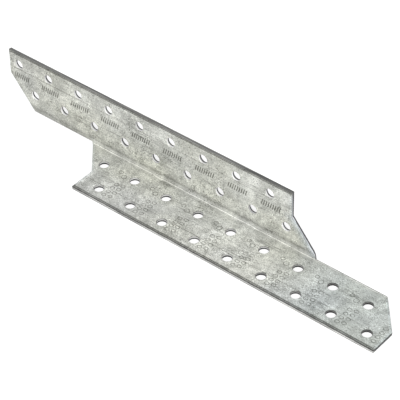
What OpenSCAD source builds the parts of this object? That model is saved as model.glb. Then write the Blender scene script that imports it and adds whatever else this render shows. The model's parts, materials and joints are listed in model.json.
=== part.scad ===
// Rafter connector: an angle folded from one galvanised sheet, with its two
// flanges set off from each other along the fold and two staggered rows of
// nail holes in each.
// X runs along the fold. One flange lies on z = 0 and the other stands at its
// back edge, so the angle opens towards -Y and +Z. The origin is the middle of
// the bounding box, on the ground.

/* [Sheet] */
// Thickness of the galvanised sheet
sheet_t = 2; // [1.5:0.25:3]
// Radius on the inside of the fold
bend_r = 2; // [1:0.25:4]
// Depth of the neutral fibre in the fold, as a share of the sheet's thickness
neutral_share = 0.42; // [0.33:0.01:0.5]

/* [Flanges] */
// Length of each flange along its free edge
flange_len = 180; // [120:5:300]
// Width of each flange, from the outside corner to its free edge
flange_w = 34; // [30:0.5:45]
// How far the lying flange is set off from the standing one, along the fold
flange_shift = 70; // [50:5:100]

/* [End cuts] */
// Length of the square part of each end, from the free edge
square_end = 14.5; // [8:0.5:18]
// How far the slanted part of each end runs along the fold
slant_run = 15; // [8:0.5:18]
// Length over which the end of the fold runs out into the flat edge
fold_runout = 3; // [2:0.5:8]

/* [Nail holes] */
// Diameter of the nail holes
hole_d = 5; // [4:0.1:6]
// Distance between two holes of a row
hole_pitch = 20; // [15:1:30]
// Distance from the free edge to the edge row
edge_margin = 7; // [6:0.5:9]
// Distance between the edge row and the fold row
row_gap = 15; // [12:0.5:15.5]
// How far the fold row is staggered along the fold
row_stagger = 10; // [8:0.5:12]
// Distance from a flange's square end to the first hole of its edge row
end_margin = 7.5; // [7:0.5:12]
// How far the whole punched pattern sits off the middle, towards -X
punch_offset = 1; // [0:0.25:1.5]

/* [Hidden] */
$fn = 96;

// Outside radius of the fold
outer_r = bend_r + sheet_t;
// Half of the sheet that the fold takes up, along its neutral fibre
half_bend = 45 * PI / 180 * (bend_r + neutral_share * sheet_t);
// Height of the blank's centre line above the outside corner, where it stays flat
centre_line = outer_r - half_bend;
// Length of the whole connector, and the square ends of the standing flange
total_len = flange_len + flange_shift;
near_end = -total_len / 2;
far_end = near_end + flange_len;
// Height at which the slanted part of an end starts
slant_top = flange_w - square_end;
// The fold ends where the far end's slant meets the blank's centre line
fold_end = far_end + slant_run;
// Holes in each row
row_count = floor((flange_len - 2 * end_margin) / hole_pitch) + 1;
// What a cutter runs past a face
cut_past = 1;
// Thickness of each slice that the runout is stretched between
slice_t = 0.05;
// Sides of a full circle in the runout's curved slice
runout_sides = 32;
// How far the runout's slice lies inside the skin of the fold
skin = 0.02;

// X of the slanted far end, at a height above the outside corner
function far_slant(height) =
    far_end + slant_run * (slant_top - height) / (slant_top - centre_line);

// Runs a section in Y and Z along X, from one place to another
module along_fold(from_x, to_x) {
    translate([from_x, 0, 0])
        rotate([90, 0, 90])
            linear_extrude(to_x - from_x)
                children();
}

// Gives an outline in X and Z a thickness behind the plane y = 0
module behind(thickness) {
    rotate([90, 0, 0])
        linear_extrude(thickness)
            children();
}

// Section of the folded sheet: two flats joined by a quarter ring
module fold_section() {
    flat_w = flange_w - outer_r;
    translate([-sheet_t, outer_r])
        square([sheet_t, flat_w]);
    translate([-flange_w, 0])
        square([flat_w, sheet_t]);
    translate([-outer_r, outer_r])
        intersection() {
            difference() {
                circle(r = outer_r);
                circle(r = bend_r);
            }
            translate([0, -outer_r])
                square(outer_r);
        }
}

// What the shears take off the standing flange's far end, down to the middle of the fold
module far_end_waste() {
    past_end = fold_end + slant_run;
    intersection() {
        translate([0, cut_past, 0])
            behind(outer_r + cut_past)
                polygon([
                    [far_end, flange_w + cut_past],
                    [far_end, slant_top],
                    [far_slant(-cut_past), -cut_past],
                    [past_end, -cut_past],
                    [past_end, flange_w + cut_past]
                ]);
        along_fold(far_end - cut_past, past_end)
            polygon([
                [cut_past, -cut_past],
                [-outer_r, outer_r],
                [-outer_r, flange_w + cut_past],
                [cut_past, flange_w + cut_past]
            ]);
    }
}

// The part of the standing flange that runs on past the fold, flat down to the
// blank's centre line
module flat_tail() {
    behind(sheet_t)
        polygon([
            [near_end, flange_w],
            [near_end, slant_top],
            [near_end + slant_run, centre_line],
            [-fold_end - fold_runout, centre_line],
            [-fold_end - fold_runout, outer_r],
            [-fold_end, outer_r],
            [-fold_end, flange_w]
        ]);
}

// Where the fold stops, the flat tail's lower edge turns into it over a short length
module fold_end_runout() {
    flat_x = -fold_end - fold_runout;
    hull() {
        along_fold(flat_x, flat_x + slice_t)
            translate([-sheet_t, centre_line])
                square([sheet_t, half_bend]);
        along_fold(-fold_end, -fold_end + slice_t)
            translate([-outer_r, outer_r])
                intersection() {
                    difference() {
                        circle(r = outer_r - skin, $fn = runout_sides);
                        circle(r = bend_r + skin, $fn = runout_sides);
                    }
                    polygon([[0, 0], [2 * outer_r, 0], [2 * outer_r, -2 * outer_r]]);
                }
    }
}

// One row of holes through the standing flange
module hole_row(first_x, height) {
    for (i = [0 : row_count - 1])
        translate([first_x + i * hole_pitch, cut_past, height])
            behind(sheet_t + 2 * cut_past)
                circle(d = hole_d);
}

// Both rows of holes of the standing flange, moved along it by punch_x
module punching(punch_x) {
    first_x = near_end + end_margin + punch_x;
    edge_row = flange_w - edge_margin;
    hole_row(first_x, edge_row);
    hole_row(first_x + row_stagger, edge_row - row_gap);
}

// Turns what belongs to the standing flange onto the lying one: half a turn
// about the line that halves the angle
module on_lying_flange() {
    rotate(180, [0, 1, -1])
        children();
}

module rafter_connector() {
    color([0.72, 0.73, 0.70])
        translate([0, flange_w / 2, 0])
            difference() {
                union() {
                    difference() {
                        along_fold(-fold_end, fold_end)
                            fold_section();
                        far_end_waste();
                        on_lying_flange() far_end_waste();
                    }
                    flat_tail();
                    on_lying_flange() flat_tail();
                    fold_end_runout();
                    on_lying_flange() fold_end_runout();
                }
                punching(-punch_offset);
                on_lying_flange() punching(punch_offset);
            }
}

rafter_connector();
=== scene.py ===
"""Rafter connector: a folded strip of galvanised sheet with sheared ends, nail holes and fine stamping.

The sheet is laid out flat first, as the maker does: a blank with its sheared edges, the nail holes punched
into it, and small ticks and rings stamped into it. Then the blank is folded to the form and place of the CAD
node. Lengths are in millimetres until the last step.
"""
import json
import math
import random

import bpy
from mathutils import Matrix, Vector
from mathutils.geometry import delaunay_2d_cdt


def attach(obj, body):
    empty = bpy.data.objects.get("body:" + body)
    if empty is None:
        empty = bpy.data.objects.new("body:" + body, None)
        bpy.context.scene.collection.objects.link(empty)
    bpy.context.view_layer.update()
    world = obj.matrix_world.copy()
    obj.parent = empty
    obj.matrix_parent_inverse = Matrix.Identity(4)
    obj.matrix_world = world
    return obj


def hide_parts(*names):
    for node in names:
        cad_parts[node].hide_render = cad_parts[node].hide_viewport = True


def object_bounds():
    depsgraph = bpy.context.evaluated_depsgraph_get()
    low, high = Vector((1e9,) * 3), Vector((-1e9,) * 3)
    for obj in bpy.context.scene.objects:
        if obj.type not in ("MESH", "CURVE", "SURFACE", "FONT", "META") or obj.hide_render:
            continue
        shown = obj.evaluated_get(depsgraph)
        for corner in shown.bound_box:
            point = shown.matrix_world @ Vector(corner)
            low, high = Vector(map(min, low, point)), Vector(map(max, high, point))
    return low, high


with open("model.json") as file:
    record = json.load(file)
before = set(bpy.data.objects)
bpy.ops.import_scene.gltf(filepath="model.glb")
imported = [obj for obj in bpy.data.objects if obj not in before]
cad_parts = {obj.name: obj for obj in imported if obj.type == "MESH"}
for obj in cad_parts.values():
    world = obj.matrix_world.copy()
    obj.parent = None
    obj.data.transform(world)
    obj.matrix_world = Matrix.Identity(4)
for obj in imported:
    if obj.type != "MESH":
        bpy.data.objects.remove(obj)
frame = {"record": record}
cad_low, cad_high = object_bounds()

MM = 0.001
NODE = "rafter_connector"

# The folded sheet, as in the part's source
TOTAL_LEN = (cad_high[0] - cad_low[0]) / MM
FLANGE_W = (cad_high[2] - cad_low[2]) / MM
SHEET_T = 2.0
BEND_R = 2.0
NEUTRAL_SHARE = 0.42
FLANGE_LEN = 180.0
SQUARE_END = 14.5
SLANT_RUN = 15.0
FOLD_RUNOUT = 3.0

OUTER_R = BEND_R + SHEET_T
NEUTRAL_R = BEND_R + NEUTRAL_SHARE * SHEET_T
HALF_BEND = math.radians(45) * NEUTRAL_R
CENTRE_LINE = OUTER_R - HALF_BEND
HALF_BLANK = FLANGE_W - CENTRE_LINE
NEAR_END = -TOTAL_LEN / 2
FAR_END = NEAR_END + FLANGE_LEN
FOLD_END = FAR_END + SLANT_RUN
SLANT_TOP = HALF_BLANK - SQUARE_END

# How much the standing flange's far end is sheared short, at its square part and where it meets the fold
END_PULL = 0.5
FOLD_PULL = 0.7

# The blank's sheared edges, as rows of (depth below the inside face, inset from the cut line, share that is
# cut wall, how much of the rolled lip it is)
EDGE_ROWS = [
    (0.000, 1.16, 0.0, 0.00),
    (0.003, 0.98, 0.0, 1.00),
    (0.010, 0.80, 0.0, 1.00),
    (0.022, 0.70, 0.0, 0.95),
    (0.060, 0.56, 0.0, 0.45),
    (0.095, 0.44, 0.0, 0.45),
    (0.145, 0.32, 0.1, 0.95),
    (0.200, 0.18, 0.3, 1.00),
    (0.280, 0.07, 0.7, 1.00),
    (0.360, 0.01, 1.0, 1.00),
    (0.920, 0.00, 1.0, 0.50),
    (1.020, 0.05, 1.0, 0.00),
    (1.450, 0.09, 1.0, 0.00),
    (1.880, 0.10, 1.0, 0.00),
    (1.970, 0.11, 0.5, 0.00),
    (2.000, 0.16, 0.0, 0.00),
]
# Distance between the points of the cut line, and how far inside it the faces' support loop runs
EDGE_STEP = 1.6
SUPPORT_INSET = 1.75
# Radius of the two inner corners, radius of the outer ones, and the least that the outer ones shrink to
CORNER_R = 0.6
OUTER_CORNER_R = 0.25
LEAST_CORNER_R = 0.12
CORNER_STEPS = 6
# What counts as a flange's free edge, and as a flat tail's edge on the blank's centre line
FREE_EDGE_REACH = 0.3
TAIL_EDGE_REACH = 1.0

# The punched holes: radius, radius and sides of the ring that is set in around each, and the ring's rows of
# (distance out from the hole's wall, depth, share that is cut wall)
HOLE_R = 2.5
RING_R = 3.4
RING_SIDES = 48
HOLE_ROWS = [
    (RING_R - HOLE_R, 0.00, 0.0),
    (0.80, 0.00, 0.0),
    (0.52, 0.015, 0.0),
    (0.30, 0.05, 0.0),
    (0.14, 0.12, 0.2),
    (0.04, 0.23, 0.8),
    (0.00, 0.38, 1.0),
    (0.00, 0.85, 1.0),
    (0.03, 0.95, 1.0),
    (0.07, 1.40, 1.0),
    (0.09, 1.88, 1.0),
    (0.12, 1.96, 0.6),
    (0.20, 2.00, 0.1),
    (0.40, 2.00, 0.0),
    (RING_R - HOLE_R, 2.00, 0.0),
]
# How much of a lip a hole has and how far out it reaches, and how far out a hole's own colours reach
HOLE_LIP = 0.7
HOLE_LIP_REACH = 0.2
HOLE_REACH = 0.5

# The torn band: how far its points stray, and the depths that it lies between, on the edges and in the holes
TORN_STRAY = 0.03
EDGE_TORN = (0.95, 1.93)
HOLE_TORN = (0.90, 1.95)
EDGE_SEED = 4
HOLE_SEED = 11

# How far a stamped mark stays from the cut line
MARK_CLEAR = 1.2

# The stamped ticks on the standing flange: (place along the group, length, lean), and how they are cut
TICKS = [(1.32 * k, 3.4, 0.9) for k in range(-4, 5)]
TICK_DEPTH = 0.16
TICK_W = 0.68
TICK_HEIGHT = 20.0
TICK_SHIFT = 0.9
# Width of a tick's bottom, as a share of its width at the surface
TICK_BOTTOM = 0.6

# The finer stamping on the lying flange, small rings as (place along from the hole, distance from the outside
# corner, half sizes): two columns beside each hole of the edge row, and a pair by each hole of the fold row
RING_DEPTH = 0.08
RING_LINE = 0.62
RING_MARK_SIDES = 14
EDGE_RINGS = [(5.1 + 3.2 * i, 29.2 - 0.9 * i - 3.2 * j, 1.15, 0.90)
              for j in range(4) for i in range(2)]
FOLD_RINGS = [(-6.0, 13.0, 1.3, 1.3), (-9.4, 11.2, 1.1, 1.0)]

# Points inside the faces: a coarse grid on the flats, whose first row is so many half bends from the centre
# line, and rows along the fold, whose points stand closer near the runouts
GRID = 5.0
GRID_START = 2.4
FOLD_ROWS = 5
FOLD_STEP = 2.5
RUNOUT_STEP = 0.5
RUNOUT_REACH = 1.5
PAST_RUNOUT = 2
# A gap in a row that is wider than this parts it in two
ROW_BREAK = FOLD_STEP * 1.1
# How far those points stay from the rings, on the flats and on the fold, from the support loop as a share of
# that, and from the stamping
GRID_CLEAR = 1.2
FOLD_CLEAR = 0.5
SUPPORT_SHARE = 0.6
STAMP_CLEAR = 3.0
# Points nearer to each other than this are one point
MERGE = 1e-5
# Triangles thinner than this, as height over length, lie outside the sheet along its straight edges
SLIVER = 1e-5

# Punching and folding: what the rings are welded within, the seed of their turns, the share of cut wall that
# makes a face a wall, and the angle past which an edge is sharp
WELD = 0.004
TURN_SEED = 7
WALL_SHARE = 0.55
SHARP_ANGLE = 38


def standing_place(x, s, depth):
    """Where a point of the standing half of the blank goes: x along the fold, s from the centre line, depth
    below the inside face."""
    flat_y, flat_z = depth - SHEET_T, CENTRE_LINE + s
    if s >= HALF_BEND:
        return Vector((x, flat_y, flat_z))
    angle = s / NEUTRAL_R - math.radians(45)
    radius = BEND_R + depth
    bent_y, bent_z = radius * math.cos(angle) - OUTER_R, radius * math.sin(angle) + OUTER_R
    share = min(max((x + FOLD_END + FOLD_RUNOUT) / FOLD_RUNOUT, 0.0), 1.0)
    share = share * share * (3 - 2 * share)
    return Vector((x, flat_y + (bent_y - flat_y) * share, flat_z + (bent_z - flat_z) * share))


def folded_place(x, s, depth):
    """A point of the blank in the part's frame. The lying half is the standing one turned half round."""
    if s > 0 or (s == 0 and x < 0):
        p = standing_place(x, s, depth)
    else:
        q = standing_place(-x, -s, depth)
        p = Vector((-q.x, -q.z, -q.y))
    return Vector((p.x, p.y + FLANGE_W / 2, p.z)) * MM


def punched_places(record):
    """The nail holes' centres on the flat blank, from the record's hole pairs."""
    places = set()
    for mount in record["mounts"]:
        if mount["kind"] != "bolt_pattern":
            continue
        x, y, z = (v / MM for v in mount["pos_m"])
        standing = abs(mount["axis"][1]) > 0.5
        s = z - CENTRE_LINE if standing else CENTRE_LINE - (FLANGE_W / 2 - y)
        for side in (-0.5, 0.5):
            places.add((round(x + side * mount["dims"]["spacing_x_mm"], 3), round(s, 3)))
    return sorted(places)


def blank_corners():
    """The blank's cut line, anticlockwise seen from the inside face. Its lower half is its upper one turned,
    and the standing flange's far end is sheared a hair short, as the photo shows it."""
    half = [
        Vector((FOLD_END, 0)),
        Vector((FAR_END, SLANT_TOP)),
        Vector((FAR_END, HALF_BLANK)),
        Vector((NEAR_END, HALF_BLANK)),
        Vector((NEAR_END, SLANT_TOP)),
        Vector((NEAR_END + SLANT_RUN, 0)),
    ]
    corners = half + [-p for p in half]
    for corner, pull in zip(corners, (FOLD_PULL, END_PULL, END_PULL)):
        corner.x -= pull
    return corners


def rounded(corners, index, radius):
    """The points of one corner of the cut line, rounded with a small arc."""
    p = corners[index]
    a = (corners[index - 1] - p).normalized()
    b = (corners[(index + 1) % len(corners)] - p).normalized()
    half_angle = a.angle(b) / 2
    reach = radius / math.tan(half_angle)
    centre = p + (a + b).normalized() * (radius / math.sin(half_angle))
    first, last = p + a * reach - centre, p + b * reach - centre
    turn = first.angle_signed(last)
    return [centre + Matrix.Rotation(-turn * k / CORNER_STEPS, 2) @ first for k in range(CORNER_STEPS + 1)]


def inward_miter(back, ahead):
    """How far a corner moves for each millimetre that its two sides move into the sheet."""
    inward = Vector((-back.y - ahead.y, back.x + ahead.x)).normalized()
    return inward / inward.dot(Vector((-ahead.y, ahead.x)))


def inset_corners(inset):
    """The cut line's sharp corners, moved into the sheet."""
    corners = blank_corners()
    moved = []
    for i, p in enumerate(corners):
        back = (p - corners[i - 1]).normalized()
        ahead = (corners[(i + 1) % len(corners)] - p).normalized()
        moved.append(p + inward_miter(back, ahead) * inset)
    return moved


def edge_corners(inset):
    """The cut line's rounded corners, moved into the sheet. The inner two grow and the others shrink."""
    corners = inset_corners(inset)
    inner = (0, len(corners) // 2)
    path = []
    for i in range(len(corners)):
        radius = CORNER_R + inset if i in inner else max(OUTER_CORNER_R - inset, LEAST_CORNER_R)
        path += rounded(corners, i, radius)
    return path


def edge_line(inset):
    """Points along the cut line, moved into the sheet. There are as many for every inset."""
    cut, path = edge_corners(0.0), edge_corners(inset)
    points = []
    for i, p in enumerate(path):
        n = (i + 1) % len(path)
        steps = max(1, round((cut[n] - cut[i]).length / EDGE_STEP))
        points += [p.lerp(path[n], k / steps) for k in range(steps)]
    return points


def ring_points(centre, radius):
    """The circle where the blank's opening meets a punched ring."""
    turn = 2 * math.pi / RING_SIDES
    return [Vector((centre[0] + radius * math.cos(k * turn), centre[1] + radius * math.sin(k * turn)))
            for k in range(RING_SIDES)]


def stroke_loops(middle, length, width, lean):
    """A straight stroke's outline and its bottom, as two four-cornered loops."""
    loops = []
    for share in (1.0, TICK_BOTTOM):
        w, h = width / 2 * share, length / 2 - (1 - share) * width / 2
        corners = [Vector((-w - lean / 2, -h)), Vector((w - lean / 2, -h)),
                   Vector((w + lean / 2, h)), Vector((-w + lean / 2, h))]
        loops.append([middle + p for p in corners])
    return loops


def ring_loops(middle, half_x, half_s, width):
    """A stamped ring: its outside, its bottom line and its inside."""
    turn = 2 * math.pi / RING_MARK_SIDES
    return [[middle + Vector(((half_x + off) * math.cos(k * turn), (half_s + off) * math.sin(k * turn)))
             for k in range(RING_MARK_SIDES)] for off in (width / 2, 0.0, -width / 2)]


def stamping(places):
    """Every stamped loop as (points, depth, how dark it is), placed from its own nail hole, and the middles
    of the marks."""
    loops, keep_clear = [], []
    rows = sorted({s for _, s in places})
    for x, s in places:
        if s == rows[-1]:
            for along, length, lean in TICKS:
                middle = Vector((x + TICK_SHIFT + along, TICK_HEIGHT - CENTRE_LINE))
                outline, bottom = stroke_loops(middle, length, TICK_W, lean)
                if all(on_sheet(p, MARK_CLEAR) for p in outline):
                    loops += [(outline, 0.0, 0.0), (bottom, TICK_DEPTH, 1.0)]
                    keep_clear.append(middle)
        if s not in rows[:2]:
            continue
        for off_x, height, half_x, half_s in EDGE_RINGS if s == rows[0] else FOLD_RINGS:
            middle = Vector((x + off_x, CENTRE_LINE - height))
            outside, bottom, inside = ring_loops(middle, half_x, half_s, RING_LINE)
            if all(on_sheet(p, MARK_CLEAR) for p in outside):
                loops += [(outside, 0.0, 0.0), (bottom, RING_DEPTH, 1.0), (inside, 0.0, 0.0)]
                keep_clear.append(middle)
    return loops, keep_clear


def on_sheet(p, margin):
    """Whether a point lies on the blank, at least a margin from its cut line."""
    corners = blank_corners()
    if not inside_polygon(p, corners):
        return False
    for i, a in enumerate(corners):
        b = corners[i - 1]
        along = min(max((p - a).dot(b - a) / (b - a).length_squared, 0.0), 1.0)
        if (a + (b - a) * along - p).length < margin:
            return False
    return True


def inside_polygon(p, loop):
    """Whether a point lies inside a closed loop of points."""
    hit = False
    for i, a in enumerate(loop):
        b = loop[i - 1]
        if (a.y > p.y) != (b.y > p.y) and p.x < (b.x - a.x) * (p.y - a.y) / (b.y - a.y) + a.x:
            hit = not hit
    return hit


def fold_points(clear_of_edge):
    """Rows of points along the fold, close enough together to round it."""
    reach = FOLD_END + FOLD_RUNOUT + PAST_RUNOUT
    rows = []
    for j in range(-FOLD_ROWS - 1, FOLD_ROWS + 2):
        s = HALF_BEND * j / FOLD_ROWS
        row = []
        x = -reach
        while x <= reach:
            near_runout = abs(abs(x) - FOLD_END) < FOLD_RUNOUT + RUNOUT_REACH
            row.append(Vector((x, s)))
            x += RUNOUT_STEP if near_runout else FOLD_STEP
        rows.append([p for p in row if clear_of_edge(p)])
    return rows


class FlatMesh:
    """Collects vertices and faces of the flat blank, with what each vertex says about the surface there."""

    KEYS = ("cut", "stroke", "lip", "end_cut", "in_hole")

    def __init__(self):
        self.verts, self.faces = [], []
        self.values = {key: [] for key in self.KEYS}

    def add(self, p, depth, **values):
        self.verts.append((p[0], p[1], -depth))
        for key in self.KEYS:
            self.values[key].append(values.get(key, 0.0))
        return len(self.verts) - 1

    def build(self, name):
        mesh = bpy.data.meshes.new(name)
        mesh.from_pydata(self.verts, [], self.faces)
        for key, values in self.values.items():
            mesh.attributes.new(key, "FLOAT", "POINT").data.foreach_set("value", values)
        piece = bpy.data.objects.new(name, mesh)
        bpy.context.scene.collection.objects.link(piece)
        return piece


def blank_face(flat, loop_ids, loop, support, places, stamped, depth, upward):
    """Fills one face of the blank between its edge rows and the punched rings."""
    coords, edges, ids, depths, strokes = [], [], [], [], []

    def put(p, vertex=None, sunk=0.0, stroke=0.0):
        coords.append(Vector((p[0], p[1])))
        ids.append(vertex)
        depths.append(depth + sunk)
        strokes.append(stroke)

    def chain(points, vertices=None, closed=True, **what):
        first = len(coords)
        for k, p in enumerate(points):
            put(p, vertices[k] if vertices else None, **what)
        count = len(points)
        edges.extend((first + k, first + (k + 1) % count) for k in range(count if closed else count - 1))

    chain(loop, loop_ids)
    chain(support)
    for place in places:
        chain(ring_points(place, RING_R))
    loops, keep_clear = stamped
    for points, sunk, stroke in loops:
        chain(points, sunk=sunk, stroke=stroke)

    def clear(p, margin=GRID_CLEAR):
        if not inside_polygon(p, support):
            return False
        if min((p - q).length for q in support) < margin * SUPPORT_SHARE:
            return False
        if any((p - Vector(c)).length < RING_R + margin for c in places):
            return False
        return not any((p - q).length < STAMP_CLEAR for q in keep_clear)

    for row in fold_points(lambda p: clear(p, FOLD_CLEAR)):
        run = []
        for p in row:
            if run and p.x - run[-1].x > ROW_BREAK:
                chain(run, closed=False)
                run = []
            run.append(p)
        if run:
            chain(run, closed=False)
    x = NEAR_END + GRID / 2
    while x < -NEAR_END:
        s = HALF_BEND * GRID_START
        while s < HALF_BLANK:
            for side in (-1, 1):
                p = Vector((x, side * s))
                if clear(p):
                    put(p)
            s += GRID
        x += GRID

    new_coords, _, triangles, origin, *_ = delaunay_2d_cdt(coords, edges, [], 0, MERGE)
    vertex_of = []
    for p, old in zip(new_coords, origin):
        known = next((ids[o] for o in old if ids[o] is not None), None)
        if known is None:
            sunk = max((depths[o] for o in old), default=depth)
            stroke = max((strokes[o] for o in old), default=0.0)
            known = flat.add(p, sunk, stroke=stroke)
        vertex_of.append(known)
    for tri in triangles:
        middle = sum((Vector(new_coords[k]) for k in tri), Vector((0, 0))) / 3
        if not inside_polygon(middle, loop):
            continue
        if any((middle - Vector(c)).length < RING_R * math.cos(math.pi / RING_SIDES) for c in places):
            continue
        face = [vertex_of[k] for k in tri]
        a, b, c = (Vector(new_coords[k]) for k in tri)
        doubled = (b - a).cross(c - a)
        if abs(doubled) < SLIVER * max((b - a).length, (c - b).length, (a - c).length) ** 2:
            continue
        anticlockwise = doubled > 0
        flat.faces.append(face if anticlockwise == upward else face[::-1])


def torn_offset(rng, depth, band):
    """How far a point strays where the wall is torn, and nought elsewhere."""
    return rng.uniform(-TORN_STRAY, TORN_STRAY) if band[0] < depth < band[1] else 0.0


def flat_blank(places):
    """The blank with its sheared edges, and with openings where the punched rings go."""
    flat = FlatMesh()
    points = edge_line(0.0)
    rng = random.Random(EDGE_SEED)
    rows = []
    for depth, inset, cut, lip in EDGE_ROWS:
        row = []
        line = edge_line(inset)
        for k, (p, q) in enumerate(zip(points, line)):
            along = (line[(k + 1) % len(line)] - line[k - 1]).normalized()
            q = q + Vector((-along.y, along.x)) * torn_offset(rng, depth, EDGE_TORN)
            free_edge = abs(p.y) > HALF_BLANK - FREE_EDGE_REACH
            tail_edge = abs(p.y) < TAIL_EDGE_REACH
            vertex = flat.add(q, depth, cut=cut, lip=0.0 if tail_edge else lip,
                              end_cut=0.0 if free_edge or tail_edge else 1.0)
            row.append((q, vertex))
        rows.append(row)
    count = len(points)
    for upper, lower in zip(rows, rows[1:]):
        for k in range(count):
            n = (k + 1) % count
            flat.faces.append((upper[k][1], lower[k][1], lower[n][1], upper[n][1]))
    support = edge_line(SUPPORT_INSET)
    stamped = stamping(places)
    for row, marks, upward in ((rows[0], stamped, True), (rows[-1], ([], []), False)):
        depth = 0.0 if upward else SHEET_T
        loop = [p for p, _ in row]
        blank_face(flat, [v for _, v in row], loop, support, places, marks, depth, upward)
    return flat.build("blank")


def punched_ring():
    """One punched hole, turned about its axis: a rolled lip, a sheared band, a torn band and a burr."""
    flat = FlatMesh()
    rng = random.Random(HOLE_SEED)
    rows = []
    for out, depth, cut in HOLE_ROWS:
        row = []
        for k in range(RING_SIDES):
            angle = 2 * math.pi * k / RING_SIDES
            radius = HOLE_R + out + torn_offset(rng, depth, HOLE_TORN)
            spot = (radius * math.cos(angle), radius * math.sin(angle))
            row.append(flat.add(spot, depth, cut=cut, lip=HOLE_LIP if out < HOLE_LIP_REACH else 0.0,
                                in_hole=1.0 if out < HOLE_REACH else 0.0))
        rows.append(row)
    for upper, lower in zip(rows, rows[1:]):
        for k in range(RING_SIDES):
            n = (k + 1) % RING_SIDES
            flat.faces.append((upper[k], upper[n], lower[n], lower[k]))
    return flat.build("punched_ring")


def place_cloud(places):
    """A point at each nail hole of the flat blank."""
    mesh = bpy.data.meshes.new("hole_places")
    mesh.from_pydata([(x, s, 0.0) for x, s in places], [], [])
    cloud = bpy.data.objects.new("hole_places", mesh)
    bpy.context.scene.collection.objects.link(cloud)
    return cloud


def punching_tree():
    """Geometry nodes that set a punched ring into every opening of the blank and weld it there."""
    tree = bpy.data.node_groups.new("Punch nail holes", "GeometryNodeTree")
    for label, kind in (("Blank", "Geometry"), ("Punched Ring", "Object"), ("Hole Places", "Object"),
                        ("Ring Sides", "Int"), ("Weld Distance", "Float"), ("Seed", "Int"),
                        ("Material", "Material")):
        tree.interface.new_socket(label, in_out="INPUT", socket_type="NodeSocket" + kind)
    tree.interface.new_socket("Sheet", in_out="OUTPUT", socket_type="NodeSocketGeometry")
    new = tree.nodes.new
    link = tree.links.new
    inputs, out = new("NodeGroupInput"), new("NodeGroupOutput")
    ring, cloud = new("GeometryNodeObjectInfo"), new("GeometryNodeObjectInfo")
    link(inputs.outputs["Punched Ring"], ring.inputs["Object"])
    link(inputs.outputs["Hole Places"], cloud.inputs["Object"])
    # Each ring is turned by a random number of its own sides, so that the rings still meet the blank
    steps = new("FunctionNodeRandomValue")
    steps.data_type = "INT"
    link(inputs.outputs["Seed"], steps.inputs["Seed"])
    link(inputs.outputs["Ring Sides"], steps.inputs[5])
    share = new("ShaderNodeMath")
    share.operation = "DIVIDE"
    link(steps.outputs[2], share.inputs[0])
    link(inputs.outputs["Ring Sides"], share.inputs[1])
    angle = new("ShaderNodeMath")
    angle.operation = "MULTIPLY"
    angle.inputs[1].default_value = 2 * math.pi
    link(share.outputs[0], angle.inputs[0])
    turn = new("ShaderNodeCombineXYZ")
    link(angle.outputs[0], turn.inputs["Z"])
    spread = new("GeometryNodeInstanceOnPoints")
    link(cloud.outputs["Geometry"], spread.inputs["Points"])
    link(ring.outputs["Geometry"], spread.inputs["Instance"])
    link(turn.outputs[0], spread.inputs["Rotation"])
    join, weld = new("GeometryNodeJoinGeometry"), new("GeometryNodeMergeByDistance")
    realise, finish = new("GeometryNodeRealizeInstances"), new("GeometryNodeSetMaterial")
    link(inputs.outputs["Blank"], join.inputs[0])
    link(spread.outputs[0], join.inputs[0])
    link(join.outputs[0], realise.inputs[0])
    link(realise.outputs[0], weld.inputs["Geometry"])
    link(inputs.outputs["Weld Distance"], weld.inputs["Distance"])
    link(weld.outputs[0], finish.inputs["Geometry"])
    link(inputs.outputs["Material"], finish.inputs["Material"])
    link(finish.outputs[0], out.inputs[0])
    return tree


def set_input(modifier, name, value):
    """Sets a modifier's input by its socket's identifier."""
    for item in modifier.node_group.interface.items_tree:
        if item.item_type == "SOCKET" and item.in_out == "INPUT" and item.name == name:
            modifier[item.identifier] = value


def folded_connector(material_face, material_cut):
    """Punches the blank, folds it and leaves one plain mesh."""
    places = punched_places(frame["record"])
    blank, ring, cloud = flat_blank(places), punched_ring(), place_cloud(places)
    modifier = blank.modifiers.new("Punch", "NODES")
    modifier.node_group = punching_tree()
    for name, value in (("Punched Ring", ring), ("Hole Places", cloud), ("Ring Sides", RING_SIDES),
                        ("Weld Distance", WELD), ("Seed", TURN_SEED), ("Material", material_face)):
        set_input(modifier, name, value)
    bpy.context.view_layer.update()
    evaluated = blank.evaluated_get(bpy.context.evaluated_depsgraph_get())
    mesh = bpy.data.meshes.new_from_object(evaluated)
    mesh.name = "folded_sheet"
    for spare in (blank, ring, cloud):
        bpy.data.objects.remove(spare)

    flat_layer = mesh.attributes.new("flat", "FLOAT_VECTOR", "POINT")
    spots = []
    for v in mesh.vertices:
        x, s, depth = v.co.x, v.co.y, -v.co.z
        spots += [x * MM, s * MM, depth / SHEET_T]
        v.co = folded_place(x, s, depth)
    flat_layer.data.foreach_set("vector", spots)
    mesh.materials.clear()
    mesh.materials.append(material_face)
    mesh.materials.append(material_cut)
    cut = [0.0] * len(mesh.vertices)
    mesh.attributes["cut"].data.foreach_get("value", cut)
    for face in mesh.polygons:
        face.use_smooth = True
        wall = sum(cut[k] for k in face.vertices) / len(face.vertices)
        face.material_index = 1 if wall > WALL_SHARE else 0
    mesh.set_sharp_from_angle(angle=math.radians(SHARP_ANGLE))
    mesh.update()
    piece = bpy.data.objects.new("folded_sheet", mesh)
    bpy.context.scene.collection.objects.link(piece)
    return piece


def new_group(name, inputs, outputs):
    """An empty shader node group with named inputs and outputs."""
    tree = bpy.data.node_groups.new(name, "ShaderNodeTree")
    for label, kind, value in inputs:
        socket = tree.interface.new_socket(label, in_out="INPUT", socket_type=kind)
        if value is not None:
            socket.default_value = value
    for label, kind in outputs:
        tree.interface.new_socket(label, in_out="OUTPUT", socket_type=kind)
    return tree, tree.nodes.new("NodeGroupInput"), tree.nodes.new("NodeGroupOutput")


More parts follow.
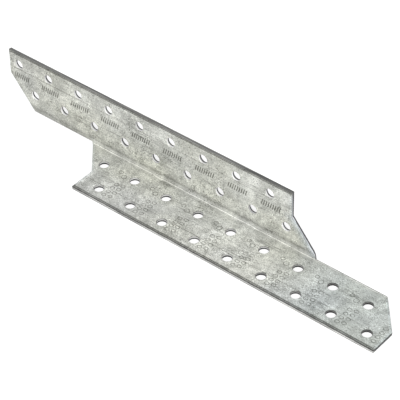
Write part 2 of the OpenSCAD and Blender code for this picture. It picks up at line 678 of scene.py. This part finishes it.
def math_node(tree, operation, a, b=None, clamp=False):
    """One Math node. Each operand is a socket or a number."""
    node = tree.nodes.new("ShaderNodeMath")
    node.operation = operation
    node.use_clamp = clamp
    for socket, value in zip(node.inputs, (a, b)):
        if value is None:
            continue
        if isinstance(value, (int, float)):
            socket.default_value = value
        else:
            tree.links.new(value, socket)
    return node.outputs[0]


def noise_node(tree, vector, scale, detail=3.0, rough=0.55, distortion=0.0):
    node = tree.nodes.new("ShaderNodeTexNoise")
    node.inputs["Detail"].default_value = detail
    node.inputs["Roughness"].default_value = rough
    node.inputs["Distortion"].default_value = distortion
    if isinstance(scale, (int, float)):
        node.inputs["Scale"].default_value = scale
    else:
        tree.links.new(scale, node.inputs["Scale"])
    tree.links.new(vector, node.inputs["Vector"])
    return node.outputs["Fac"]


def product(tree, a, b):
    return math_node(tree, "MULTIPLY", a, b)


def spread_node(tree, value, low, high, to_low=0.0, to_high=1.0):
    """Spreads a value from one range to another and holds it at both ends."""
    node = tree.nodes.new("ShaderNodeMapRange")
    for label, v in (("From Min", low), ("From Max", high), ("To Min", to_low), ("To Max", to_high)):
        node.inputs[label].default_value = v
    tree.links.new(value, node.inputs["Value"])
    return node.outputs["Result"]


def zinc_bloom_group():
    """Mottling of a hot-dip zinc coat: cloudy patches, crystals, a fine grain and curled hair lines."""
    tree, given, out = new_group(
        "Zinc bloom",
        [("Vector", "NodeSocketVector", None), ("Patch Scale", "NodeSocketFloat", 90.0),
         ("Crystal Scale", "NodeSocketFloat", 420.0), ("Grain Scale", "NodeSocketFloat", 1500.0)],
        [("Patches", "NodeSocketFloat"), ("Crystals", "NodeSocketFloat"), ("Grain", "NodeSocketFloat"),
         ("Hair Lines", "NodeSocketFloat")])
    vector = given.outputs["Vector"]
    clouds = noise_node(tree, vector, given.outputs["Patch Scale"], 3.0, 0.55, 0.5)
    bend = tree.nodes.new("ShaderNodeTexNoise")
    bend.inputs["Scale"].default_value = 700.0
    tree.links.new(vector, bend.inputs["Vector"])
    shift = tree.nodes.new("ShaderNodeVectorMath")
    shift.operation = "MULTIPLY_ADD"
    shift.inputs[1].default_value = (0.0026, 0.0026, 0.0026)
    tree.links.new(bend.outputs["Color"], shift.inputs[0])
    tree.links.new(vector, shift.inputs[2])
    cells = tree.nodes.new("ShaderNodeTexVoronoi")
    tree.links.new(shift.outputs[0], cells.inputs["Vector"])
    tree.links.new(given.outputs["Crystal Scale"], cells.inputs["Scale"])
    split = tree.nodes.new("ShaderNodeSeparateColor")
    tree.links.new(cells.outputs["Color"], split.inputs[0])
    grain = noise_node(tree, vector, given.outputs["Grain Scale"], 2.0, 0.7, 0.8)
    curls = noise_node(tree, shift.outputs[0], given.outputs["Crystal Scale"], 1.0, 0.5, 1.2)
    near = math_node(tree, "ABSOLUTE", math_node(tree, "SUBTRACT", curls, 0.5))
    where = noise_node(tree, vector, given.outputs["Patch Scale"], 2.0, 0.6)
    lines = product(tree, spread_node(tree, near, 0.028, 0.006), spread_node(tree, where, 0.40, 0.55))
    tree.links.new(spread_node(tree, clouds, 0.25, 0.75), out.inputs["Patches"])
    tree.links.new(split.outputs[0], out.inputs["Crystals"])
    tree.links.new(spread_node(tree, grain, 0.25, 0.75), out.inputs["Grain"])
    tree.links.new(lines, out.inputs["Hair Lines"])
    return tree


def surface_coordinates(tree):
    """Object coordinates, and the flat blank's own length, width and depth."""
    place = tree.nodes.new("ShaderNodeTexCoord").outputs["Object"]
    flat = tree.nodes.new("ShaderNodeAttribute")
    flat.attribute_name = "flat"
    split = tree.nodes.new("ShaderNodeSeparateXYZ")
    tree.links.new(flat.outputs["Vector"], split.inputs[0])
    return place, flat.outputs["Vector"], split.outputs


def colour_ramp(tree, value, stops):
    """Colours by a value, from stops of (value, colour)."""
    ramp = tree.nodes.new("ShaderNodeValToRGB")
    while len(ramp.color_ramp.elements) < len(stops):
        ramp.color_ramp.elements.new(0.5)
    for element, (place, colour) in zip(ramp.color_ramp.elements, stops):
        element.position = place
        element.color = (*colour, 1)
    tree.links.new(value, ramp.inputs[0])
    return ramp.outputs["Color"]


# Sockets of a Mix node that is set to colours
MIX_SHARE, MIX_FIRST, MIX_SECOND, MIX_RESULT = 0, 6, 7, 2


def mixed(tree, share, first, second, blend="MIX"):
    """Two colours mixed by a share. The second is a socket or a plain colour."""
    mix = tree.nodes.new("ShaderNodeMix")
    mix.data_type = "RGBA"
    mix.blend_type = blend
    tree.links.new(share, mix.inputs[MIX_SHARE])
    tree.links.new(first, mix.inputs[MIX_FIRST])
    if isinstance(second, tuple):
        mix.inputs[MIX_SECOND].default_value = (*second, 1)
    else:
        tree.links.new(second, mix.inputs[MIX_SECOND])
    return mix.outputs[MIX_RESULT]


def toned(tree, colour, amount, factor):
    """A colour times a factor, by an amount from nought to one."""
    return mixed(tree, amount, colour, factor, "MULTIPLY")


def stretched(tree, vector, scale, turn=0.0):
    """Coordinates scaled along each axis, then turned about Z by some degrees."""
    node = tree.nodes.new("ShaderNodeMapping")
    node.inputs["Rotation"].default_value = (0, 0, math.radians(turn))
    node.inputs["Scale"].default_value = scale
    tree.links.new(vector, node.inputs["Vector"])
    return node.outputs[0]


def add_bump(tree, shader, height, strength, distance):
    bump = tree.nodes.new("ShaderNodeBump")
    bump.inputs["Strength"].default_value = strength
    bump.inputs["Distance"].default_value = distance
    tree.links.new(height, bump.inputs["Height"])
    tree.links.new(bump.outputs[0], shader.inputs["Normal"])


def attribute_value(tree, name):
    node = tree.nodes.new("ShaderNodeAttribute")
    node.attribute_name = name
    return node.outputs["Fac"]


def new_material(name, metallic):
    material = bpy.data.materials.new(name)
    material.use_nodes = True
    tree = material.node_tree
    shader = tree.nodes["Principled BSDF"]
    shader.inputs["Metallic"].default_value = metallic
    return material, tree, shader


def bloom_node(tree, group, vector, patch, crystal, grain):
    node = tree.nodes.new("ShaderNodeGroup")
    node.node_tree = group
    for label, value in (("Patch Scale", patch), ("Crystal Scale", crystal), ("Grain Scale", grain)):
        node.inputs[label].default_value = value
    tree.links.new(vector, node.inputs["Vector"])
    return node.outputs


# The line that a roller left on each flange: its distance from the blank's centre line, and half its width
SCRIBE_S = 22.55
SCRIBE_HALF = 0.34
# Middle of the stretch that is painted a little lighter, as a pool of light
LIT_STRETCH_X = 35.0

# Painted highlight and painted shade along the fold, as (place across the fold from the centre line, tone)
FOLD_REACH = 5
FOLD_LIGHT_AND_SHADE = [
    (-4.6, 1.00), (-2.6, 0.86), (-1.60, 0.86), (-1.20, 0.68), (-0.88, 1.34), (-0.55, 1.14), (-0.28, 0.62),
    (0.05, 0.58), (0.38, 0.86), (0.70, 0.70), (1.5, 0.71), (2.5, 0.56), (3.4, 0.78), (4.6, 1.00)]

# The zinc's own colours by tone, and what marks, painted light and painted shade multiply them by
ZINC_COLOURS = [
    (0.10, (0.275, 0.280, 0.260)), (0.36, (0.430, 0.436, 0.408)), (0.60, (0.610, 0.618, 0.583)),
    (0.88, (0.84, 0.85, 0.81))]
HAIR_LINE_TONE = (0.58, 0.59, 0.58)
PIT_TONE = (0.42, 0.42, 0.40)
SMUDGE_TONE = (0.76, 0.76, 0.75)
LYING_SKY_REFLECTION_TONE = (1.06, 1.06, 1.09)
LOW_SHADE_TONE = (0.965, 0.965, 0.95)
EDGE_SHADE_TONE = (0.91, 0.91, 0.91)
END_TONE = (0.91, 0.91, 0.92)
SLANT_TONE = (0.88, 0.905, 0.95)
WARM_TONE = (1.0, 0.995, 0.95)
FAR_COOL_REFLECTION_TONE = (0.83, 0.87, 0.89)
SCRIBE_TONE = (0.55, 0.55, 0.53)
STAMP_TONE = (0.30, 0.30, 0.28)
LIP_DARK_REFLECTION_TONE = (0.17, 0.17, 0.16)
END_LIP_HIGHLIGHT_TONE = (1.08, 1.11, 1.14)

# Colours down the cut walls, as (share of the sheet's thickness, colour): plain walls, the lying flange's
# long edge with a painted reflection of the pale floor, the nail holes with painted light and shade, and the
# ends
BARE_WALL = [
    (0.08, (0.16, 0.16, 0.155)), (0.20, (0.21, 0.21, 0.205)), (0.42, (0.15, 0.15, 0.145)),
    (0.55, (0.13, 0.13, 0.125)), (0.90, (0.13, 0.13, 0.125)), (0.98, (0.22, 0.22, 0.21))]
LONG_EDGE_WALL_REFLECTION = [
    (0.06, (0.055, 0.055, 0.053)), (0.21, (0.035, 0.035, 0.034)), (0.31, (0.22, 0.22, 0.21)),
    (0.45, (0.42, 0.42, 0.41)), (0.70, (0.45, 0.45, 0.44)), (0.96, (0.24, 0.235, 0.22))]
STANDING_HOLES_LIT = [
    (0.04, (0.46, 0.46, 0.45)), (0.14, (0.66, 0.66, 0.65)), (0.26, (0.80, 0.80, 0.79)),
    (0.50, (0.74, 0.74, 0.73)), (0.60, (0.09, 0.09, 0.088)), (0.98, (0.08, 0.08, 0.078))]
LYING_HOLES_SHADED = [
    (0.05, (0.14, 0.14, 0.135)), (0.14, (0.30, 0.30, 0.29)), (0.26, (0.50, 0.50, 0.49)),
    (0.50, (0.44, 0.44, 0.43)), (0.60, (0.05, 0.05, 0.048)), (0.98, (0.04, 0.04, 0.038))]
FAR_LYING_HOLES_SHADED = [
    (0.08, (0.05, 0.05, 0.048)), (0.20, (0.07, 0.07, 0.068)), (0.30, (0.18, 0.18, 0.175)),
    (0.46, (0.14, 0.14, 0.137)), (0.56, (0.04, 0.04, 0.038)), (0.98, (0.04, 0.04, 0.038))]
STANDING_END = [
    (0.05, (0.05, 0.05, 0.05)), (0.16, (0.09, 0.09, 0.09)), (0.28, (0.42, 0.44, 0.46)),
    (0.46, (0.38, 0.40, 0.42)), (0.58, (0.06, 0.06, 0.06)), (0.98, (0.05, 0.05, 0.05))]
LYING_END = [
    (0.05, (0.08, 0.08, 0.078)), (0.18, (0.05, 0.05, 0.05)), (0.50, (0.06, 0.06, 0.06)),
    (0.98, (0.11, 0.11, 0.108))]
SLANTED_END_TONE = (1.7, 1.7, 1.7)
DRAWN_TONE = (0.50, 0.50, 0.50)
GLINT_TONE = (1.6, 1.6, 1.6)
NICK_TONE = (1.35, 1.35, 1.35)


def mix_share(tree, total, parts):
    """A tone made of shares of several values, each taken about its middle."""
    for value, share in parts:
        centred = product(tree, math_node(tree, "SUBTRACT", value, 0.5), share)
        total = math_node(tree, "ADD", centred, total)
    return total


def standing_side(tree, axes):
    """One on the standing flange and nought on the lying one."""
    return math_node(tree, "GREATER_THAN", axes["Y"], 0.0)


def scratches(tree, flat):
    """A few long fine scratches that wander across the strip."""
    wave = noise_node(tree, stretched(tree, flat, (22.0, 380.0, 1.0), 24), 1.0, 1.0)
    near = math_node(tree, "ABSOLUTE", math_node(tree, "SUBTRACT", wave, 0.5))
    where = spread_node(tree, noise_node(tree, flat, 33.0, 2.0), 0.50, 0.62)
    return product(tree, spread_node(tree, near, 0.022, 0.006), where)


def zinc_tone(tree, zinc, place, flat, axes, dragged):
    """How light the zinc is: patches and lengthwise streaks, a grain that calms down along the fold,
    scratches and one stretch painted a little lighter, as a pool of light."""
    streaks = noise_node(tree, dragged, 1.0, 3.0, 0.6)
    coarse = mix_share(tree, 0.5, [(zinc["Patches"], 0.50), (streaks, 0.3)])
    fine = mix_share(tree, 0.0, [(zinc["Crystals"], 0.22), (zinc["Grain"], 1.06)])
    calm = spread_node(tree, noise_node(tree, place, 45.0, 2.0), 0.35, 0.65, 0.65, 1.15)
    from_fold = math_node(tree, "ABSOLUTE", axes["Y"])
    calm = product(tree, calm, spread_node(tree, from_fold, 1.2 * MM, 3.0 * MM, 0.35, 1.0))
    tone = math_node(tree, "ADD", coarse, product(tree, fine, calm))
    tone = math_node(tree, "SUBTRACT", tone, product(tree, scratches(tree, flat), 0.30))
    # Painted light: one stretch along the strip is made a little lighter
    off_lit_stretch = math_node(tree, "ABSOLUTE", math_node(tree, "SUBTRACT", axes["X"], LIT_STRETCH_X * MM))
    return math_node(tree, "ADD", tone, spread_node(tree, off_lit_stretch, 36 * MM, 14 * MM, 0.0, 0.10))


def marked(tree, colour, zinc, place, axes):
    """Hair lines, pits, and smudges where the lying flange is handled."""
    colour = toned(tree, colour, zinc["Hair Lines"], HAIR_LINE_TONE)
    pits = spread_node(tree, noise_node(tree, place, 1500.0, 1.0, 0.5), 0.60, 0.66)
    pitted = spread_node(tree, noise_node(tree, place, 75.0, 2.0), 0.40, 0.60, 0.3, 1.0)
    colour = toned(tree, colour, product(tree, pits, pitted), PIT_TONE)
    smudge = spread_node(tree, noise_node(tree, place, 95.0, 4.0, 0.6), 0.51, 0.66)
    lying = spread_node(tree, axes["Y"], 0.0, -3 * MM)
    handled = product(tree, lying, spread_node(tree, axes["X"], 80 * MM, 45 * MM))
    return toned(tree, colour, product(tree, smudge, handled), SMUDGE_TONE)


def shaded_by_place(tree, colour, place, axes):
    """Slow changes of tone over the flanges: a painted reflection of the sky on the lying flange away from
    the fold, painted shade low on the standing flange and towards the free edges, darker and cooler towards
    the ends, random warm patches, and a darker, cooler painted reflection on the lying flange's far stretch.
    """
    # Painted reflection: the lying flange lighter and cooler away from the fold, where it reflects the sky
    colour = toned(tree, colour, spread_node(tree, axes["Y"], -10 * MM, -20 * MM), LYING_SKY_REFLECTION_TONE)
    # Painted shade on the standing flange's lower stretch, from 3 to 16 mm above the fold
    low = product(tree, spread_node(tree, axes["Y"], 16 * MM, 10 * MM),
                  spread_node(tree, axes["Y"], 0.0, 3 * MM))
    colour = toned(tree, colour, low, LOW_SHADE_TONE)
    from_fold = math_node(tree, "ABSOLUTE", axes["Y"])
    # Painted shade towards the flanges' free edges
    to_edge = spread_node(tree, from_fold, (HALF_BLANK - 6) * MM, (HALF_BLANK - 2) * MM)
    colour = toned(tree, colour, to_edge, EDGE_SHADE_TONE)
    standing = standing_side(tree, axes)
    to_end = spread_node(tree, axes["X"], (FAR_END - 6) * MM, (FAR_END - 2) * MM)
    colour = toned(tree, colour, product(tree, to_end, standing), END_TONE)
    slant = math_node(tree, "ADD", product(tree, axes["Y"], SLANT_RUN / SLANT_TOP), axes["X"])
    to_slant = product(tree, spread_node(tree, slant, (FOLD_END - 6) * MM, (FOLD_END - 2) * MM),
                       spread_node(tree, axes["Y"], (SLANT_TOP + 2) * MM, (SLANT_TOP - 1) * MM))
    colour = toned(tree, colour, product(tree, to_slant, standing), SLANT_TONE)
    colour = toned(tree, colour, spread_node(tree, noise_node(tree, place, 28.0, 2.0), 0.4, 0.65), WARM_TONE)
    # Painted reflection: the lying flange's far stretch is darker and cooler
    far = product(tree, spread_node(tree, axes["X"], 52 * MM, 88 * MM),
                  spread_node(tree, axes["Y"], 2 * MM, -3 * MM))
    return toned(tree, colour, far, FAR_COOL_REFLECTION_TONE)


def painted_fold_light_and_shade(tree, colour, place, axes):
    """Painted highlight and painted shade: the light and dark lines along the bend."""
    wander = spread_node(tree, noise_node(tree, place, 160.0, 2.0), 0.3, 0.7, -0.3 * MM, 0.3 * MM)
    across = math_node(tree, "ADD", axes["Y"], wander)
    # Painted highlight and painted shade: a bright line and dark bands across the fold
    fold_light_and_shade = colour_ramp(tree, spread_node(tree, across, -FOLD_REACH * MM, FOLD_REACH * MM), [
        ((s + FOLD_REACH) / (2 * FOLD_REACH), (tone, tone, tone * 0.995)) for s, tone in FOLD_LIGHT_AND_SHADE])
    here = spread_node(tree, noise_node(tree, place, 240.0, 2.0), 0.38, 0.60, 0.62, 1.12)
    return mixed(tree, here, colour, fold_light_and_shade, "MULTIPLY")


def roller_line(tree, colour, dragged, axes):
    """A worn line along the inside face of each flange."""
    off_line = math_node(tree, "SUBTRACT", math_node(tree, "ABSOLUTE", axes["Y"]), SCRIBE_S * MM)
    off_line = math_node(tree, "ABSOLUTE", off_line)
    line = spread_node(tree, off_line, SCRIBE_HALF * MM, SCRIBE_HALF * 0.4 * MM)
    line = product(tree, line, math_node(tree, "LESS_THAN", axes["Z"], 0.5))
    worn = spread_node(tree, noise_node(tree, dragged, 0.5, 2.0), 0.35, 0.6, 0.15, 1.0)
    return toned(tree, colour, product(tree, line, worn), SCRIBE_TONE)


def lip_reflection_and_highlight(tree, colour, flat, axes):
    """The lip that the shears roll over, with painted light: a painted dark reflection on free edges, in the
    lying holes and along the lying flange's front edge, and a painted highlight at the ends.
    """
    standing_hole = product(tree, attribute_value(tree, "in_hole"), standing_side(tree, axes))
    lip = math_node(tree, "SUBTRACT", attribute_value(tree, "lip"), standing_hole, clamp=True)
    rolled = noise_node(tree, flat, 70.0, 2.0)
    lip = product(tree, lip, spread_node(tree, rolled, 0.36, 0.52, 0.86, 1.0))
    # Painted dark reflection: a wider dark band along the lying flange's front edge
    front_dark_reflection = spread_node(tree, product(tree, axes["Y"], -1.0), (HALF_BLANK - 1.5) * MM,
                        (HALF_BLANK - 1.1) * MM, 0.0, 0.6)
    front_dark_reflection = product(tree, front_dark_reflection, math_node(tree, "LESS_THAN", axes["Z"], 0.05))
    lip = math_node(tree, "MAXIMUM", lip, front_dark_reflection)
    # Painted highlight where the lip runs along the ends
    end_highlight = product(tree, lip, attribute_value(tree, "end_cut"))
    colour = toned(tree, colour, math_node(tree, "SUBTRACT", lip, end_highlight), LIP_DARK_REFLECTION_TONE)
    return toned(tree, colour, end_highlight, END_LIP_HIGHLIGHT_TONE)


def galvanised_face(bloom):
    """The coated faces: mottled zinc, dragged lengthwise, with a roller line and grey in the stamping, and
    with painted light and shade by place, along the fold and on the lip.
    """
    material, tree, shader = new_material("galvanised_face", 0.30)
    place, flat, axes = surface_coordinates(tree)
    zinc = bloom_node(tree, bloom, place, 110.0, 540.0, 2000.0)
    dragged = stretched(tree, flat, (30.0, 900.0, 1.0))
    colour = colour_ramp(tree, zinc_tone(tree, zinc, place, flat, axes, dragged), ZINC_COLOURS)
    colour = marked(tree, colour, zinc, place, axes)
    colour = shaded_by_place(tree, colour, place, axes)
    colour = painted_fold_light_and_shade(tree, colour, place, axes)
    colour = roller_line(tree, colour, dragged, axes)
    colour = toned(tree, colour, attribute_value(tree, "stroke"), STAMP_TONE)
    colour = lip_reflection_and_highlight(tree, colour, flat, axes)
    tree.links.new(colour, shader.inputs["Base Color"])
    tree.links.new(spread_node(tree, zinc["Crystals"], 0, 1, 0.56, 0.70), shader.inputs["Roughness"])
    height = math_node(tree, "ADD", product(tree, zinc["Grain"], 0.5), product(tree, zinc["Patches"], 0.5))
    add_bump(tree, shader, height, 0.35, 0.12 * MM)
    return material


def hole_walls_lit_and_shaded(tree, depth, axes):
    """Walls of the nail holes, with painted light: light on the standing flange, painted shade on the lying
    one, darker still towards its far end.
    """
    # Painted light and shade: standing holes' walls lighter, lying holes' walls darker towards the far end
    lying = mixed(tree, spread_node(tree, axes["X"], 35 * MM, 85 * MM), colour_ramp(tree, depth, LYING_HOLES_SHADED),
                  colour_ramp(tree, depth, FAR_LYING_HOLES_SHADED))
    return mixed(tree, standing_side(tree, axes), lying, colour_ramp(tree, depth, STANDING_HOLES_LIT))


def end_walls(tree, depth, axes, bare):
    """Walls of the flanges' ends. Those towards -X are bare."""
    slanted = spread_node(tree, axes["Y"], (SLANT_TOP + 0.3) * MM, (SLANT_TOP - 0.3) * MM)
    standing = toned(tree, colour_ramp(tree, depth, STANDING_END), slanted, SLANTED_END_TONE)
    ends = mixed(tree, standing_side(tree, axes), colour_ramp(tree, depth, LYING_END), standing)
    return mixed(tree, math_node(tree, "GREATER_THAN", axes["X"], 0.0), bare, ends)


def sheared_wall(bloom):
    """The cut walls: a thin rolled line, a smooth sheared band and a rough torn band. The lying flange's long
    edge has a lighter lower band, a painted reflection of the pale floor, and painted glints run along the
    walls."""
    material, tree, shader = new_material("sheared_wall", 0.8)
    place, flat, axes = surface_coordinates(tree)
    zinc = bloom_node(tree, bloom, place, 300.0, 900.0, 2500.0)
    depth = math_node(tree, "ADD", axes["Z"], spread_node(tree, zinc["Patches"], 0.2, 0.8, -0.05, 0.05))
    bare = colour_ramp(tree, depth, BARE_WALL)
    # Painted reflection of the pale floor on the lower band of the lying flange's long edge
    on_long_edge = math_node(tree, "GREATER_THAN", product(tree, axes["Y"], -1.0), (HALF_BLANK - 1.2) * MM)
    colour = mixed(tree, on_long_edge, bare, colour_ramp(tree, depth, LONG_EDGE_WALL_REFLECTION))
    colour = mixed(tree, attribute_value(tree, "end_cut"), colour, end_walls(tree, depth, axes, bare))
    colour = mixed(tree, attribute_value(tree, "in_hole"), colour, hole_walls_lit_and_shaded(tree, depth, axes))
    drawn = noise_node(tree, stretched(tree, flat, (45.0, 45.0, 5.5)), 1.0, 2.0, 0.6)
    colour = toned(tree, colour, spread_node(tree, drawn, 0.50, 0.38), DRAWN_TONE)
    # Painted glints in streaks along the cut walls
    colour = toned(tree, colour, spread_node(tree, drawn, 0.52, 0.64), GLINT_TONE)
    nicks = noise_node(tree, flat, 140.0, 3.0, 0.6)
    colour = toned(tree, colour, spread_node(tree, nicks, 0.45, 0.62), NICK_TONE)
    tree.links.new(colour, shader.inputs["Base Color"])
    tree.links.new(spread_node(tree, axes["Z"], 0.4, 0.6, 0.38, 0.62), shader.inputs["Roughness"])
    scored = noise_node(tree, stretched(tree, flat, (1800.0, 1800.0, 0.6)), 1.0, 2.0)
    add_bump(tree, shader, scored, 0.5, 0.08 * MM)
    return material


# The camera: where it aims, how far off it stands, and how it is turned
AIM = (9.06, 3.60, 13.41)
CAMERA_AWAY = 918.9
CAMERA_HEADING = 40.04
CAMERA_ABOVE = 40.57
CAMERA_ROLL = -0.84
LENS_MM = 174.95
SENSOR_MM = 36.0


def add_camera():
    """The camera that sees the part as the photo does."""
    data = bpy.data.cameras.new("camera")
    data.lens = LENS_MM
    data.sensor_width = SENSOR_MM
    data.clip_start, data.clip_end = 0.05, 20.0
    camera = bpy.data.objects.new("camera", data)
    bpy.context.scene.collection.objects.link(camera)
    heading, above = math.radians(CAMERA_HEADING), math.radians(CAMERA_ABOVE)
    away = Vector((math.sin(heading) * math.cos(above), -math.cos(heading) * math.cos(above),
                   math.sin(above)))
    camera.location = (Vector(AIM) + away * CAMERA_AWAY) * MM
    level = (-away).to_track_quat("-Z", "Y")
    roll = Matrix.Rotation(math.radians(CAMERA_ROLL), 4, "Z")
    camera.matrix_world = Matrix.Translation(camera.location) @ level.to_matrix().to_4x4() @ roll
    bpy.context.scene.camera = camera


def add_soft_light(name, place, size, watts):
    """A round lamp that points at the origin."""
    data = bpy.data.lights.new(name, "AREA")
    data.shape = "DISK"
    data.size = size
    data.energy = watts
    lamp = bpy.data.objects.new(name, data)
    lamp.location = place
    lamp.rotation_euler = (-Vector(place)).to_track_quat("-Z", "Y").to_euler()
    bpy.context.scene.collection.objects.link(lamp)


# The floor: what it adds to look pale from the camera, its grey, how far it reaches and how far it lies below
WHITE_TO_CAMERA = 0.70
FLOOR_COLOUR = 0.45
FLOOR_REACH = 3.0
FLOOR_DROP = 0.0002


def seen_directly(tree):
    """One where a ray comes straight from the camera or from a mirror or glass, nought elsewhere."""
    path = tree.nodes.new("ShaderNodeLightPath")
    total = math_node(tree, "ADD", path.outputs["Is Camera Ray"], path.outputs["Is Glossy Ray"])
    return math_node(tree, "ADD", total, path.outputs["Is Transmission Ray"], clamp=True)


def add_floor():
    """A pale floor that keeps the part's shadow."""
    mesh = bpy.data.meshes.new("floor")
    sides = ((-1, -1), (1, -1), (1, 1), (-1, 1))
    mesh.from_pydata([(x * FLOOR_REACH, y * FLOOR_REACH, -FLOOR_DROP) for x, y in sides], [], [(0, 1, 2, 3)])
    floor = bpy.data.objects.new("floor", mesh)
    bpy.context.scene.collection.objects.link(floor)
    material = bpy.data.materials.new("pale_floor")
    material.use_nodes = True
    tree = material.node_tree
    tree.nodes.clear()
    diffuse, glow = tree.nodes.new("ShaderNodeBsdfDiffuse"), tree.nodes.new("ShaderNodeEmission")
    diffuse.inputs["Color"].default_value = (FLOOR_COLOUR, FLOOR_COLOUR, FLOOR_COLOUR, 1)
    tree.links.new(math_node(tree, "MULTIPLY", seen_directly(tree), WHITE_TO_CAMERA), glow.inputs["Strength"])
    both, out = tree.nodes.new("ShaderNodeAddShader"), tree.nodes.new("ShaderNodeOutputMaterial")
    tree.links.new(diffuse.outputs[0], both.inputs[0])
    tree.links.new(glow.outputs[0], both.inputs[1])
    tree.links.new(both.outputs[0], out.inputs["Surface"])
    mesh.materials.append(material)


# How strongly the world lights the part. It is plain white where it is seen directly
WORLD_LIGHT = 0.65


def add_world():
    """White surroundings."""
    world = bpy.data.worlds.new("studio")
    bpy.context.scene.world = world
    world.use_nodes = True
    tree = world.node_tree
    background = tree.nodes["Background"]
    background.inputs["Color"].default_value = (1, 1, 1, 1)
    extra = math_node(tree, "MULTIPLY", seen_directly(tree), 1 - WORLD_LIGHT)
    tree.links.new(math_node(tree, "ADD", extra, WORLD_LIGHT), background.inputs["Strength"])


bpy.context.scene.view_settings.view_transform = "Standard"
add_camera()
add_world()
add_floor()
add_soft_light("key_light", (1.20, -1.50, 1.40), 2.4, 47)
add_soft_light("fill_light", (-1.4, -0.9, 1.3), 1.5, 2)
add_soft_light("near_light", (0.38, -0.50, 0.42), 0.50, 0.95)

zinc_bloom = zinc_bloom_group()
connector = folded_connector(galvanised_face(zinc_bloom), sheared_wall(zinc_bloom))
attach(connector, "root")
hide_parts(NODE)
